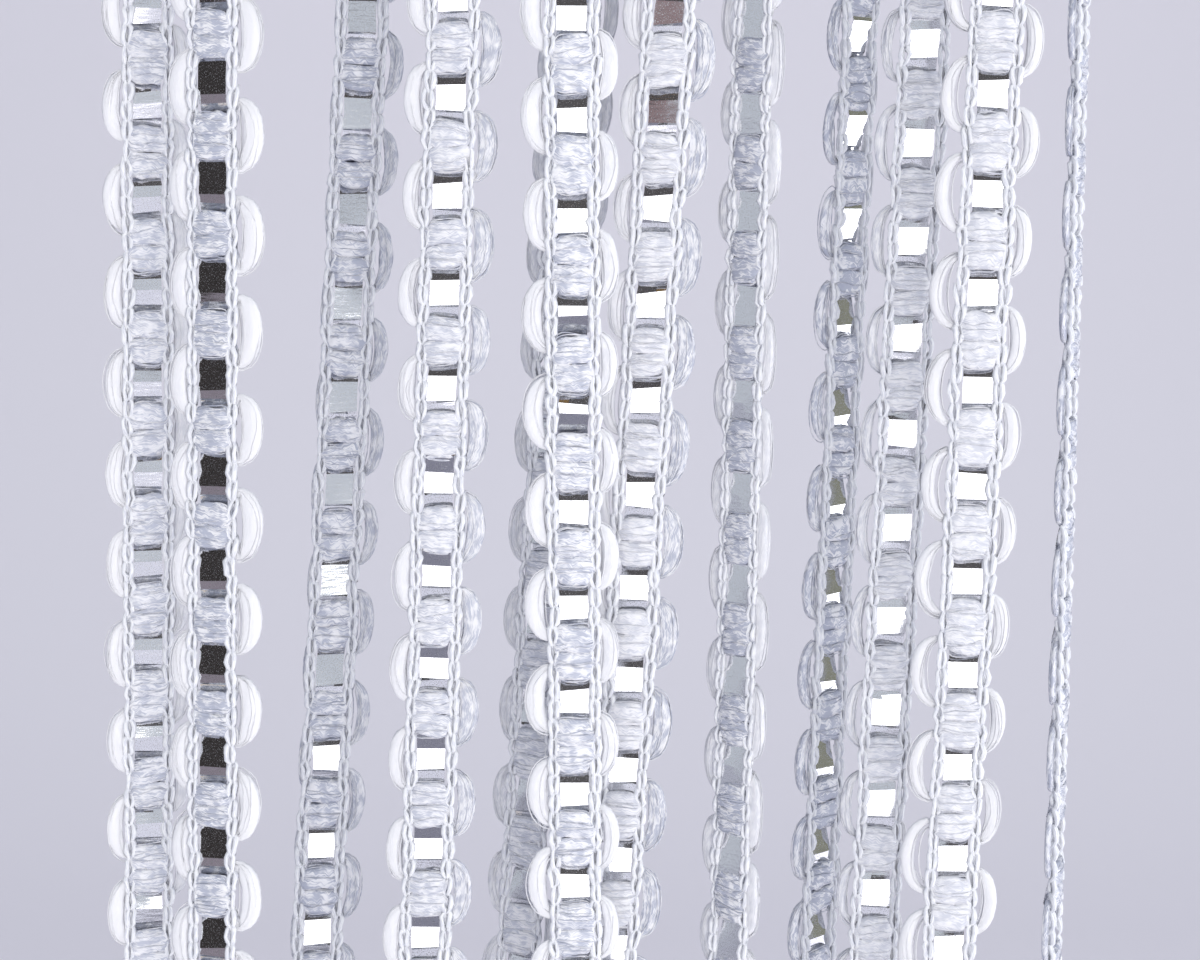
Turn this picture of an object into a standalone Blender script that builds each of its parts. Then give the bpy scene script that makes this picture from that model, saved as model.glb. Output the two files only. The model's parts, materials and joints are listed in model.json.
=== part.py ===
"""String curtain, a cut length at the scale of its knit: twelve strands hang from a gathered heading tape.

Each strand is a knitted ribbon about 4 mm wide: a flat metallised tape held between two chains of
stitches, with a soft yarn that turns in round loops at both sides. A solid strand here has the ribbon's
width, the loops' scalloped edges and the padded front. The tape is as wavy as the curtain's folds.
"""

import math
from collections import namedtuple

import bmesh
import bpy
from mathutils import Vector

MM = 0.001

# Heading tape: a folded band of woven cloth with the ends of the strands caught inside
TAPE_HEIGHT = 12.0
TAPE_THICKNESS = 1.2
TAPE_TAIL = 3.0
TAPE_STATION = 0.9
STEPS_PER_FOLD = 24
ROOT_LEVEL = -7.0
HEM_LEVEL = -12.3

# One strand, across its width and its thickness
ROOT_REACH = 0.5
CHAIN_REACH = 1.15
LOOP_REACH = 1.98
LOOP_SHARE = 0.8
WINDOW_FRONT = 0.28
PAD_FRONT = 0.50
STRAND_BACK = 0.32
RINGS_PER_REPEAT = 6

# How the strands hang
TURN_LENGTH = 9.0
UPPER_LEVEL = -21.5
LOWER_LEVEL = -63.5

# One row for each strand, left to right, in millimetres and degrees. root_x and root_depth are where it
# is caught in the tape, seen from above. x_upper and x_lower are its middle at the two levels above, and
# depth is how far behind the origin it hangs. turn is counted from facing the front, anticlockwise from
# above. window is the height of the middle of one bare stretch of the metallised tape, repeat is the
# knit's repeat, and end is where the strand is cut.
Strand = namedtuple("Strand", "root_x root_depth x_upper x_lower depth turn window repeat end")
STRANDS = [
    Strand(-20.4, 5.6, -20.6, -21.8, 7.0, 20, -42.4, 4.25, -71.2),
    Strand(-16.4, 2.4, -16.5, -17.6, 1.5, -12, -41.8, 4.25, -72.6),
    Strand(-10.4, 5.4, -10.8, -13.6, 7.0, 8, -43.1, 4.33, -71.8),
    Strand(-6.3, 2.6, -6.3, -8.0, 2.0, 0, -42.1, 4.20, -72.9),
    Strand(-2.9, 3.5, -0.9, -3.7, 6.5, -25, -49.3, 4.30, -71.5),
    Strand(-0.9, -0.1, -1.2, -1.1, -0.5, 5, -42.9, 4.19, -73.2),
    Strand(3.4, 1.9, 3.0, 0.6, 2.5, -4, -42.7, 4.22, -72.3),
    Strand(7.2, 3.8, 6.9, 6.2, 4.5, -46, -42.9, 4.25, -71.0),
    Strand(11.9, 6.2, 11.8, 10.6, 8.0, 42, -43.6, 4.27, -72.0),
    Strand(14.7, 3.4, 14.2, 12.7, 3.5, 8, -44.4, 4.29, -72.8),
    Strand(17.2, 0.9, 16.6, 15.5, -0.5, -5, -46.0, 4.16, -71.6),
    Strand(21.3, 4.2, 21.5, 21.6, 6.0, 68, -43.0, 4.20, -72.4),
]

YARN_COLOUR = (0.80, 0.81, 0.86, 1.0)


def clear_scene():
    """Starts from an empty scene."""
    for item in list(bpy.data.objects):
        bpy.data.objects.remove(item, do_unlink=True)


def yarn_material():
    """White polyester yarn with a soft shine."""
    material = bpy.data.materials.new("polyester_yarn")
    material.use_nodes = True
    shader = material.node_tree.nodes["Principled BSDF"]
    shader.inputs["Base Color"].default_value = YARN_COLOUR
    shader.inputs["Roughness"].default_value = 0.45
    shader.inputs["Metallic"].default_value = 0.0
    return material


def settled(z):
    """How far a strand has settled from its root, 0 inside the tape, to its own line, 1, at height z."""
    fallen = min(1.0, max(0.0, (-TAPE_HEIGHT - z) / TURN_LENGTH))
    return fallen * fallen * (3 - 2 * fallen)


def strand_middle(strand, z):
    """The middle of a strand in plan at height z: it leaves its root and hangs straight, a little off plumb."""
    fall = (strand.x_lower - strand.x_upper) / (LOWER_LEVEL - UPPER_LEVEL)
    line = Vector((strand.x_upper + fall * (z - UPPER_LEVEL), strand.depth))
    return Vector((strand.root_x, strand.root_depth)).lerp(line, settled(z))


def smooth_path(points, steps):
    """Points on a Catmull-Rom curve through the given plan points, with the end points repeated."""
    padded = [points[0], *points, points[-1]]
    path = []
    for before, start, stop, after in zip(padded, padded[1:], padded[2:], padded[3:]):
        for step in range(steps):
            t = step / steps
            a = 2 * start
            b = stop - before
            c = 2 * before - 5 * start + 4 * stop - after
            d = 3 * start - before - 3 * stop + after
            path.append(0.5 * (a + b * t + c * t * t + d * t * t * t))
    path.append(points[-1])
    return path


def tape_path():
    """The tape's middle line in plan: soft folds through every strand's root, with a short tail."""
    roots = [Vector((s.root_x, s.root_depth)) for s in STRANDS]
    first_tail = roots[0] - Vector((TAPE_TAIL, 0.0))
    last_tail = roots[-1] + Vector((TAPE_TAIL, 0.0))
    return smooth_path([first_tail, *roots, last_tail], STEPS_PER_FOLD)


def evenly_spaced(path, spacing):
    """The same line with its points an even distance apart."""
    lengths = [0.0]
    for start, stop in zip(path, path[1:]):
        lengths.append(lengths[-1] + (stop - start).length)
    count = round(lengths[-1] / spacing)
    spaced = []
    segment = 0
    for step in range(count + 1):
        wanted = lengths[-1] * step / count
        while segment < len(path) - 2 and lengths[segment + 1] < wanted:
            segment += 1
        share = (wanted - lengths[segment]) / (lengths[segment + 1] - lengths[segment])
        spaced.append(path[segment].lerp(path[segment + 1], share))
    return spaced


def direction_near(path, point):
    """The tape's direction in plan, in radians, where it passes a point."""
    inner = range(1, len(path) - 1)
    nearest = min(inner, key=lambda i: (path[i] - point).length)
    along = path[nearest + 1] - path[nearest - 1]
    return math.atan2(along.y, along.x)


def add_rings(name, rings, material):
    """One closed object from a row of four-cornered rings, capped at both ends."""
    mesh = bmesh.new()
    loops = [[mesh.verts.new(Vector(corner) * MM) for corner in ring] for ring in rings]
    for upper, lower in zip(loops, loops[1:]):
        for i in range(4):
            j = (i + 1) % 4
            mesh.faces.new((upper[i], upper[j], lower[j], lower[i]))
    mesh.faces.new(loops[0][::-1])
    mesh.faces.new(loops[-1])
    bmesh.ops.recalc_face_normals(mesh, faces=mesh.faces)
    data = bpy.data.meshes.new(name)
    mesh.to_mesh(data)
    mesh.free()
    data.materials.append(material)
    item = bpy.data.objects.new(name, data)
    bpy.context.scene.collection.objects.link(item)
    return item


def make_tape(path, material):
    """The heading tape, an upright band that follows the plan line."""
    line = evenly_spaced(path, TAPE_STATION)
    rings = []
    for i, point in enumerate(line):
        along = (line[min(i + 1, len(line) - 1)] - line[max(i - 1, 0)]).normalized()
        across = Vector((-along.y, along.x)) * TAPE_THICKNESS / 2
        front = point - across
        back = point + across
        rings.append(
            [
                (front.x, front.y, 0.0),
                (back.x, back.y, 0.0),
                (back.x, back.y, -TAPE_HEIGHT),
                (front.x, front.y, -TAPE_HEIGHT),
            ]
        )
    return add_rings("strands_on_heading_tape", rings, material)


def loop_reach(phase):
    """How far the edge stands from the middle, phase 0 being the middle of a side loop."""
    offset = abs((phase + 0.5) % 1.0 - 0.5) / (LOOP_SHARE / 2)
    bulge = math.sqrt(max(0.0, 1.0 - offset * offset))
    return CHAIN_REACH + (LOOP_REACH - CHAIN_REACH) * bulge


def ring_at(strand, z, root_angle, left, right, front):
    """The four corners of a strand at height z, from the reach of its two edges and of its front."""
    angle = root_angle + (math.radians(strand.turn) - root_angle) * settled(z)
    across = Vector((math.cos(angle), math.sin(angle)))
    backward = Vector((-across.y, across.x))
    middle = strand_middle(strand, z)
    corners = [
        middle - left * across - front * backward,
        middle + right * across - front * backward,
        middle + right * across + STRAND_BACK * backward,
        middle - left * across + STRAND_BACK * backward,
    ]
    return [(corner.x, corner.y, z) for corner in corners]


def knit_ring(strand, z, root_angle):
    """A ring of the free knit: a left loop stands beside each bare stretch, a right loop beside each pad."""
    phase = (strand.window - z) / strand.repeat
    pad = 0.5 - 0.5 * math.cos(2 * math.pi * phase)
    front = WINDOW_FRONT + (PAD_FRONT - WINDOW_FRONT) * pad
    return ring_at(strand, z, root_angle, loop_reach(phase), loop_reach(phase + 0.5), front)


def knit_heights(strand):
    """Where the rings of the free knit lie: in step with the loops, then at the cut end."""
    step = strand.repeat / RINGS_PER_REPEAT
    steps_up = math.floor((HEM_LEVEL - step / 2 - strand.window) / step)
    heights = []
    z = strand.window + steps_up * step
    while z > strand.end + step / 3:
        heights.append(z)
        z -= step
    return [*heights, strand.end]


def make_strand(number, strand, path, material):
    """A strand as a guide body that the tape is joined with."""
    root_angle = direction_near(path, strand_middle(strand, -TAPE_HEIGHT))
    root = ring_at(strand, ROOT_LEVEL, root_angle, ROOT_REACH, ROOT_REACH, WINDOW_FRONT)
    hem = ring_at(strand, HEM_LEVEL, root_angle, CHAIN_REACH, CHAIN_REACH, WINDOW_FRONT)
    rings = [root, hem, *(knit_ring(strand, z, root_angle) for z in knit_heights(strand))]
    item = add_rings(f"strand_{number:02d}", rings, material)
    item.hide_render = True
    item.display_type = "WIRE"
    return item


def join_strand(tape, strand):
    """Fuses a strand's root into the tape."""
    union = tape.modifiers.new(strand.name, "BOOLEAN")
    union.operation = "UNION"
    union.solver = "EXACT"
    union.object = strand


def main():
    clear_scene()
    material = yarn_material()
    path = tape_path()
    tape = make_tape(path, material)
    for number, strand in enumerate(STRANDS, start=1):
        join_strand(tape, make_strand(number, strand, path, material))


main()
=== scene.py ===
"""String curtain at the scale of its knit: the looks.

Twelve knitted strands hang from a gathered heading tape. Each strand is a slit metallised film between two
chains of stitches, with a soft filament yarn that pads the film's front and turns in loops at both sides.
"""

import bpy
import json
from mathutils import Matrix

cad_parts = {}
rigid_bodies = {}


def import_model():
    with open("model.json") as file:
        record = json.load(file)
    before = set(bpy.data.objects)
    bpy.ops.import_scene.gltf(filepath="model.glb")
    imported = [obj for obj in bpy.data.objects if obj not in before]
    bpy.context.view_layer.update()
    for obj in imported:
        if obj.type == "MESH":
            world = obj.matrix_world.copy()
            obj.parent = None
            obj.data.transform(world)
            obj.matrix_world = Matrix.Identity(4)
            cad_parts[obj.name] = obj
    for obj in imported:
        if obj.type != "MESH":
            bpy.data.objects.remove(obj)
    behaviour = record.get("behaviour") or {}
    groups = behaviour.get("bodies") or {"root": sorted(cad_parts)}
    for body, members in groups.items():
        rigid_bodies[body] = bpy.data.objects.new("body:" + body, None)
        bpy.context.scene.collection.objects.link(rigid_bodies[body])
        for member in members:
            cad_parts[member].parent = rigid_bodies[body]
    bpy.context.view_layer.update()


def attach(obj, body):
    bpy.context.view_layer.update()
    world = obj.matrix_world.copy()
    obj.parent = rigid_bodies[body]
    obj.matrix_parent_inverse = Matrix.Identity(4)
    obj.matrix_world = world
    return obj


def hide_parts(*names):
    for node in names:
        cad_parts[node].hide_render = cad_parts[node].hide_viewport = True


bl_info = {
    "name": "String curtain looks",
    "version": (1, 0, 0),
    "blender": (4, 5, 0),
    "location": "3D View > Sidebar > Curtain",
    "description": "Dresses a string curtain with its film, knitted yarn, heading tape and studio",
    "category": "Object",
}

import json
import math
from collections import namedtuple

import bpy
import numpy as np
from bpy.props import FloatProperty, FloatVectorProperty, IntProperty, PointerProperty
from mathutils import Vector

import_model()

# Blender's lengths are in metres, and those of the strands, the tape and the patterns here in millimetres
MM = 0.001
BODY = "root"
NODE = "strands_on_heading_tape"

# Where the random numbers for a strand's film, chains and yarn start, before its number is added
FILM_SEED = 100
CHAIN_SEED = 200
YARN_SEED = 300

# Heading tape, in millimetres, as the solid has it, and the steps from one strand's root to the next
TAPE_HEIGHT = 12.0
TAPE_THICKNESS = 1.2
TAPE_TAIL = 3.0
STEPS_PER_FOLD = 24

# How the strands hang, in millimetres. They start inside the tape, are held by it down to CAUGHT_LEVEL and
# hang free of it below FREE_LEVEL. Their places are given at the upper and the lower level.
TURN_LENGTH = 9.0
UPPER_LEVEL = -21.5
LOWER_LEVEL = -63.5
CAUGHT_LEVEL = -12.2
FREE_LEVEL = -15.5
STRAND_TOP = -10.0

# What the tape presses away of a strand: a share of its loops' reach past the chains and of its depth
LOOPS_PRESSED = 0.85
DEPTH_PRESSED = 0.5

# One row for each strand, left to right, in millimetres and degrees. root_x and root_depth are where it
# is caught in the tape, seen from above. x_upper and x_lower are its middle at the two levels above, and
# depth is how far behind the origin it hangs. turn is counted from facing the front, anticlockwise from
# above. window is the height of the middle of one bare stretch of the film, repeat is the knit's repeat,
# and end is where the strand is cut.
Strand = namedtuple("Strand", "root_x root_depth x_upper x_lower depth turn window repeat end")
STRANDS = [
    Strand(-20.4, 5.6, -20.6, -21.8, 7.0, 20, -42.4, 4.25, -71.2),
    Strand(-16.4, 2.4, -16.5, -17.6, 1.5, -12, -41.8, 4.25, -72.6),
    Strand(-10.4, 5.4, -10.8, -13.6, 7.0, 8, -43.1, 4.33, -71.8),
    Strand(-6.3, 2.6, -6.3, -8.0, 2.0, 0, -42.1, 4.20, -72.9),
    Strand(-2.9, 3.5, -0.9, -3.7, 6.5, -25, -49.3, 4.30, -71.5),
    Strand(-0.9, -0.1, -1.2, -1.1, -0.5, 5, -42.9, 4.19, -73.2),
    Strand(3.4, 1.9, 3.0, 0.6, 2.5, -4, -42.7, 4.22, -72.3),
    Strand(7.2, 3.8, 6.9, 6.2, 4.5, -46, -42.9, 4.25, -71.0),
    Strand(11.9, 6.2, 11.8, 10.6, 8.0, 42, -43.6, 4.27, -72.0),
    Strand(14.7, 3.4, 14.2, 12.7, 3.5, 8, -44.4, 4.29, -72.8),
    Strand(17.2, 0.9, 16.6, 15.5, -0.5, -5, -46.0, 4.16, -71.6),
    Strand(21.3, 4.2, 21.5, 21.6, 6.0, 68, -43.0, 4.20, -72.4),
]

# How each strand's yarn lies, in the same order. At the outside of a loop the yarn is dense over twice
# bundle millimetres and loose over twice loose. rise is half the height of a loop as a share of the repeat
# and reach is how far it stands out as a share of the loops' usual reach. clear is how far its filaments
# are spread, from 0 to 1.7: it thins the loops, raises the dense bundle's ridges and sets how much cool
# lavender-grey painted shade the yarn gets between and under its filaments, the more the higher it is. pad is
# half the height of the pads as a share of the repeat and pad_clear is clear for the pads. light is how many
# of the middle and near boxes light the strand, fewer where others shade it.
Loop = namedtuple("Loop", "bundle loose rise reach clear")
Yarn = namedtuple("Yarn", "left right pad pad_clear light")
YARNS = [
    Yarn(Loop(0.40, 0.44, 0.37, 1.00, 0.0), Loop(0.36, 0.40, 0.37, 1.00, 0.3), 0.28, 0.9, 2),
    Yarn(Loop(0.44, 0.46, 0.37, 1.05, 0.1), Loop(0.50, 0.50, 0.38, 1.15, 0.0), 0.23, 1.5, 2),
    Yarn(Loop(0.10, 0.14, 0.34, 0.64, 1.0), Loop(0.34, 0.36, 0.37, 1.00, 0.9), 0.27, 1.1, 0),
    Yarn(Loop(0.38, 0.38, 0.36, 1.00, 0.1), Loop(0.42, 0.42, 0.37, 1.05, 0.9), 0.245, 0.8, 2),
    Yarn(Loop(0.34, 0.36, 0.37, 1.00, 0.5), Loop(0.30, 0.32, 0.37, 0.97, 0.5), 0.28, 0.8, 1),
    Yarn(Loop(0.44, 0.44, 0.37, 1.08, 0.1), Loop(0.36, 0.40, 0.35, 1.00, 0.2), 0.29, 1.0, 2),
    Yarn(Loop(0.34, 0.38, 0.37, 1.00, 0.2), Loop(0.42, 0.44, 0.41, 1.05, 1.1), 0.25, 0.6, 2),
    Yarn(Loop(0.28, 0.32, 0.37, 0.97, 0.4), Loop(0.40, 0.40, 0.45, 0.84, 0.3), 0.27, 1.5, 2),
    Yarn(Loop(0.36, 0.40, 0.37, 1.00, 1.1), Loop(0.30, 0.32, 0.37, 0.80, 0.4), 0.28, 1.7, 0),
    Yarn(Loop(0.24, 0.28, 0.37, 0.95, 0.6), Loop(0.16, 0.20, 0.36, 0.70, 0.0), 0.24, 0.6, 1),
    Yarn(Loop(0.32, 0.38, 0.39, 1.12, 0.0), Loop(0.32, 0.34, 0.36, 1.00, 0.1), 0.29, 0.6, 2),
    Yarn(Loop(0.30, 0.32, 0.37, 1.00, 1.2), Loop(0.30, 0.32, 0.37, 1.00, 1.2), 0.27, 1.4, 0),
]

# The bare stretches of each strand's film, in the same order. A row holds for the stretches below its
# height, in millimetres. The flat part of a stretch runs from the phase top to the phase bottom, counted
# down the repeat from the middle of the stretch, with a crease at the phase fold. mirrored is how high in
# the room, in degrees, the film mirrors to the camera: the two strips between the pad above and the flat
# part, the flat part above its crease and under it, and the strip between it and the pad below. twist is
# how far the film is turned in its strand, in degrees, counted as the strands' turn is.
Bare = namedtuple("Bare", "below top fold bottom mirrored twist")
FILMS = [
    [Bare(0, -0.14, -0.02, 0.14, (50, 34, 17, -26, -30), -9)],
    [Bare(0, -0.21, 0.09, 0.18, (54, 28, 0, -22, -42), 0)],
    [
        Bare(0, -0.16, 0.0, 0.16, (34, 34, 19, 19, -28), 0),
        Bare(-55, -0.14, 0.0, 0.13, (40, 34, -2, -2, -28), 0),
    ],
    [
        Bare(0, -0.13, 0.0, 0.13, (36, 34, -4, -4, -28), 0),
        Bare(-40.0, -0.11, 0.0, 0.11, (-40, -40, -4, -4, -28), 0),
    ],
    [Bare(0, -0.14, 0.0, 0.14, (50, 34, 5, 5, -30), 0)],
    [
        Bare(0, -0.07, 0.05, 0.17, (36, 34, 0, -3, -46), 0),
        Bare(-32.8, -0.09, 0.01, 0.18, (36, 34, -2, -47, -46), 0),
        Bare(-41.1, -0.09, 0.03, 0.15, (36, 34, 0, -3, -46), 0),
    ],
    [
        Bare(0, -0.10, 0.0, 0.13, (40, 36, 17, 18, -28), 0),
        Bare(-27.0, -0.13, 0.0, 0.13, (36, 34, -4, -4, -28), 0),
    ],
    [Bare(0, -0.22, 0.04, 0.25, (50, 34, 8, 0, -30), 0)],
    [
        Bare(0, -0.16, 0.0, 0.16, (50, 34, -24, -24, -30), 0),
        Bare(-31.0, -0.20, 0.10, 0.23, (50, 34, 20, -24, -30), 0),
    ],
    [Bare(0, -0.15, 0.0, 0.13, (21, 20, -4, -4, -28), -12)],
    [Bare(0, -0.12, 0.06, 0.15, (36, 34, -2, -5, -28), 0)],
    [Bare(0, -0.14, 0.0, 0.14, (50, 34, 5, 5, -30), 0)],
]

# Phases of the film's creases that lie behind the pads, the share of the way up to the pad above at which
# the strip over a flat part is creased, the height and lean of the steep fold under each flat part, and the
# most that the film leans elsewhere
CREASE_PAD_ABOVE = -0.30
CREASE_PAD_BELOW = 0.29
CREASE_PAD_MIDDLE = 0.5
STRIP_CREASE = 0.3
STEEP_FOLD = 0.022
STEEP_LEAN = math.radians(-34)
STEEPEST_LEAN = math.radians(27)

# The camera, in metres and degrees: the point it is aimed at, how far off it stands, how far it looks down
# and the width of the picture at that point. Its sensor's width is in millimetres.
AIM = Vector((0.0, 2.0, -42.0)) * MM
CAMERA_DISTANCE = 0.090
CAMERA_PITCH = 8.0
VIEW_WIDTH = 0.05328
SENSOR = 36.0


def linear_colour(hex_text):
    """A linear colour from an sRGB hex text such as F2F3F7."""
    channels = [int(hex_text[i : i + 2], 16) / 255 for i in (0, 2, 4)]
    return tuple(c / 12.92 if c <= 0.04045 else ((c + 0.055) / 1.055) ** 2.4 for c in channels)


class StrandSizes(bpy.types.PropertyGroup):
    """Sizes of the knitted strands."""

    film_width: FloatProperty(
        name="Film width", description="Width of the slit film", default=0.00127, unit="LENGTH"
    )
    film_thickness: FloatProperty(
        name="Film thickness", description="Thickness of the film", default=0.00003, unit="LENGTH"
    )
    film_front: FloatProperty(
        name="Film front",
        description="How far a bare stretch of film stands in front of the strand's middle",
        default=0.00017,
        unit="LENGTH",
    )
    film_behind: FloatProperty(
        name="Film behind pads",
        description="How far the film lies behind the strand's middle under a pad",
        default=0.00012,
        unit="LENGTH",
    )
    chain_place: FloatProperty(
        name="Chain place",
        description="From the strand's middle to the middle of a chain of stitches",
        default=0.00091,
        unit="LENGTH",
    )
    chain_thread: FloatProperty(
        name="Chain thread",
        description="Diameter of the thread of the chains",
        default=0.00021,
        unit="LENGTH",
    )
    loop_reach: FloatProperty(
        name="Loop reach",
        description="From the strand's middle to the outside of a loop",
        default=0.00198,
        unit="LENGTH",
    )
    filament: FloatProperty(
        name="Loose filaments",
        description="Diameter of one loose bundle of filaments",
        default=0.00006,
        unit="LENGTH",
    )
    filaments: IntProperty(
        name="Loose bundles", description="Number of loose bundles on the yarn", default=8, min=1
    )
    ridges: IntProperty(
        name="Ridges", description="Number of ridges of filaments round the yarn", default=13, min=6
    )


class HeadingSizes(bpy.types.PropertyGroup):
    """Sizes of the heading tape."""

    cloth_thickness: FloatProperty(
        name="Cloth thickness",
        description="Thickness of one layer of the tape",
        default=0.0003,
        unit="LENGTH",
    )
    thread_pitch: FloatProperty(
        name="Thread pitch",
        description="From one thread of the tape's weave to the next",
        default=0.00036,
        unit="LENGTH",
    )
    stitch_length: FloatProperty(
        name="Stitch length", description="Length of one stitch", default=0.0022, unit="LENGTH"
    )


class Finishes(bpy.types.PropertyGroup):
    """Colours of the materials."""

    yarn: FloatVectorProperty(
        name="Yarn",
        description="Colour of the filament yarn",
        default=linear_colour("F5F5F8"),
        subtype="COLOR",
        min=0.0,
        max=1.0,
    )
    chain: FloatVectorProperty(
        name="Chain thread",
        description="Colour of the thread of the chains",
        default=linear_colour("FAFBFD"),
        subtype="COLOR",
        min=0.0,
        max=1.0,
    )
    film: FloatVectorProperty(
        name="Film",
        description="Colour of the metallised film",
        default=linear_colour("F0F1F4"),
        subtype="COLOR",
        min=0.0,
        max=1.0,
    )
    cloth: FloatVectorProperty(
        name="Heading cloth",
        description="Colour of the heading tape",
        default=linear_colour("EDEEF4"),
        subtype="COLOR",
        min=0.0,
        max=1.0,
    )
    backdrop: FloatVectorProperty(
        name="Backdrop",
        description="Colour of the paper floor and backdrop",
        default=linear_colour("EAE7ED"),
        subtype="COLOR",
        min=0.0,
        max=1.0,
    )


def in_mm(length):
    """A property's length, in millimetres."""
    return length / MM


def unit(vectors):
    """The same vectors with a length of one."""
    return vectors / np.maximum(np.linalg.norm(vectors, axis=-1, keepdims=True), 1e-12)


def ease(share):
    """0 below 0, 1 above 1 and a soft rise between."""
    share = np.clip(share, 0.0, 1.0)
    return share * share * (3 - 2 * share)


def around_aim(azimuth, elevation, distance):
    """A place round the curtain, azimuth 0 being in front and 90 to the right, in degrees and metres."""
    a = math.radians(azimuth)
    e = math.radians(elevation)
    way = Vector((math.sin(a) * math.cos(e), -math.cos(a) * math.cos(e), math.sin(e)))
    return AIM + way * distance


def smooth_path(points, steps):
    """Points on a Catmull-Rom curve through the given ones, along the first axis, with the ends repeated."""
    padded = np.concatenate([points[:1], points, points[-1:]])
    before, start, stop, after = (padded[i : len(padded) - 3 + i, None] for i in range(4))
    t = (np.arange(steps) / steps).reshape(1, steps, *[1] * (points.ndim - 1))
    a = 2 * start
    b = stop - before
    c = 2 * before - 5 * start + 4 * stop - after
    d = 3 * start - before - 3 * stop + after
    curve = 0.5 * (a + b * t + c * t**2 + d * t**3)
    return np.concatenate([curve.reshape(-1, *points.shape[1:]), points[-1:]])


def run_along(points):
    """The way along a line from its first point to each of its points."""
    return np.concatenate([[0.0], np.cumsum(np.linalg.norm(np.diff(points, axis=0), axis=1))])


# Where things are in plan: the tape's middle line and the strands' places

TapeLine = namedtuple("TapeLine", "run points backward")


def tape_line():
    """The tape's middle line: the run along it, its points and the way to its back."""
    roots = [(s.root_x, s.root_depth) for s in STRANDS]
    first_tail = (roots[0][0] - TAPE_TAIL, roots[0][1])
    last_tail = (roots[-1][0] + TAPE_TAIL, roots[-1][1])
    points = smooth_path(np.array([first_tail, *roots, last_tail]), STEPS_PER_FOLD)
    along = unit(np.gradient(points, axis=0))
    backward = np.stack([-along[:, 1], along[:, 0]], axis=1)
    return TapeLine(run_along(points), points, backward)


TAPE_LINE = tape_line()


def on_tape(run, behind, height):
    """Places in the tape, from the run along its middle line, millimetres behind it and the height."""
    x, y = (np.interp(run, TAPE_LINE.run, TAPE_LINE.points[:, i]) for i in range(2))
    back_x, back_y = (np.interp(run, TAPE_LINE.run, TAPE_LINE.backward[:, i]) for i in range(2))
    return np.stack([x + behind * back_x, y + behind * back_y, height + 0 * x], axis=-1)


def root_run(strand):
    """The run along the tape's middle line at which a strand is caught."""
    root = np.array([strand.root_x, strand.root_depth])
    return TAPE_LINE.run[np.argmin(np.linalg.norm(TAPE_LINE.points - root, axis=1))]


def root_angle(strand):
    """The tape's direction where a strand is caught, in radians from +X."""
    nearest = np.argmin(np.abs(TAPE_LINE.run - root_run(strand)))
    back_x, back_y = TAPE_LINE.backward[nearest]
    return math.atan2(-back_x, back_y)


def placed(strand, across, behind, height, chain_place):
    """Places on a strand's flat ribbon, in millimetres across, behind and high, where the strand hangs.

    In the tape the ribbon is pressed thinner, its loops are drawn in and it bends as the tape does.
    """
    caught = ease((height - FREE_LEVEL) / (CAUGHT_LEVEL - FREE_LEVEL))
    inner = np.clip(across, -chain_place, chain_place)
    across = inner + (across - inner) * (1 - LOOPS_PRESSED * caught)
    behind = behind * (1 - DEPTH_PRESSED * caught)
    settled = ease((-TAPE_HEIGHT - height) / TURN_LENGTH)
    fall = (strand.x_lower - strand.x_upper) / (LOWER_LEVEL - UPPER_LEVEL)
    line_x = strand.x_upper + fall * (height - UPPER_LEVEL)
    middle_x = strand.root_x + (line_x - strand.root_x) * settled
    middle_y = strand.root_depth + (strand.depth - strand.root_depth) * settled
    start = root_angle(strand)
    angle = start + (math.radians(strand.turn) - start) * settled
    free_x = middle_x + across * np.cos(angle) - behind * np.sin(angle)
    free_y = middle_y + across * np.sin(angle) + behind * np.cos(angle)
    free = np.stack([free_x, free_y, height + 0 * free_x], axis=-1)
    bent = on_tape(root_run(strand) + across, behind, height)
    return free + (bent - free) * caught[..., None]


def window_heights(strand):
    """The middles of a strand's bare stretches, top to bottom, from inside the tape to past its end."""
    above = math.floor((STRAND_TOP - strand.window) / strand.repeat)
    below = math.ceil((strand.window - strand.end) / strand.repeat)
    return [strand.window + k * strand.repeat for k in range(above, -below - 1, -1)]


# Materials


def add_node(tree, kind, inputs=None, links=None, **settings):
    """Adds a node with its settings, its inputs' values and the sockets that feed it."""
    node = tree.nodes.new(kind)
    for name, value in settings.items():
        setattr(node, name, value)
    for name, value in (inputs or {}).items():
        node.inputs[name].default_value = value
    for name, socket in (links or {}).items():
        tree.links.new(socket, node.inputs[name])
    return node


def new_material(name):
    """A new material, with its tree of nodes and its shader."""
    material = bpy.data.materials.new(name)
    material.use_nodes = True
    tree = material.node_tree
    return material, tree, tree.nodes["Principled BSDF"]


def ramp_colours(node, low, high):
    """Sets a colour ramp's two ends."""
    node.color_ramp.elements[0].color = (*low, 1.0)
    node.color_ramp.elements[1].color = (*high, 1.0)


def shaded(colour, shares):
    """A darker colour. shares is what is left of it, as one number or one each for red, green and blue."""
    return tuple(np.multiply(colour, shares))


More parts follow.
